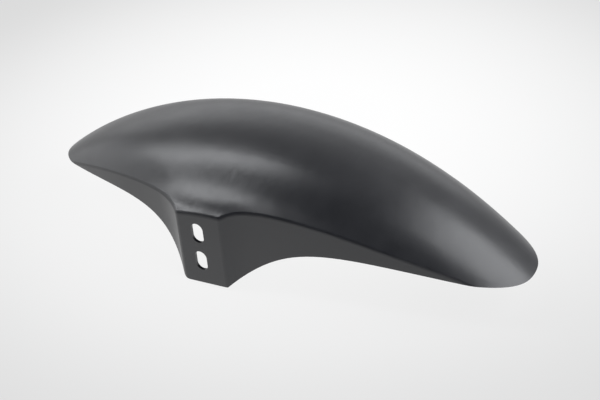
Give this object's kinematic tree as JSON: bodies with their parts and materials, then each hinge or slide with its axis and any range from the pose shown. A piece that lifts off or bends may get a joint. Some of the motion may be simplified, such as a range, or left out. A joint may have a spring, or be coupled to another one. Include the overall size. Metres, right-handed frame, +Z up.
{
  "type": "motorcycle front fender",
  "caption": "One-piece matte black fender for a motorcycle front wheel: a domed shell curved round the tyre, with a flat slotted mount panel on each side for the fork legs.",
  "frame": {"origin": "under the middle of the length, on the centre plane, at the level of the mount panels' lowest corners", "axes": "+X along the fender towards its longer end, +Y across it from one mount panel to the other, +Z up along the slots"},
  "size_m": [0.4372, 0.1652, 0.1154],
  "materials": {
    "shell": "satin matte black moulded plastic with a very fine even grain"
  },
  "bodies": {
    "root": {"fender_shell": "shell"}
  },
  "joints": []
}
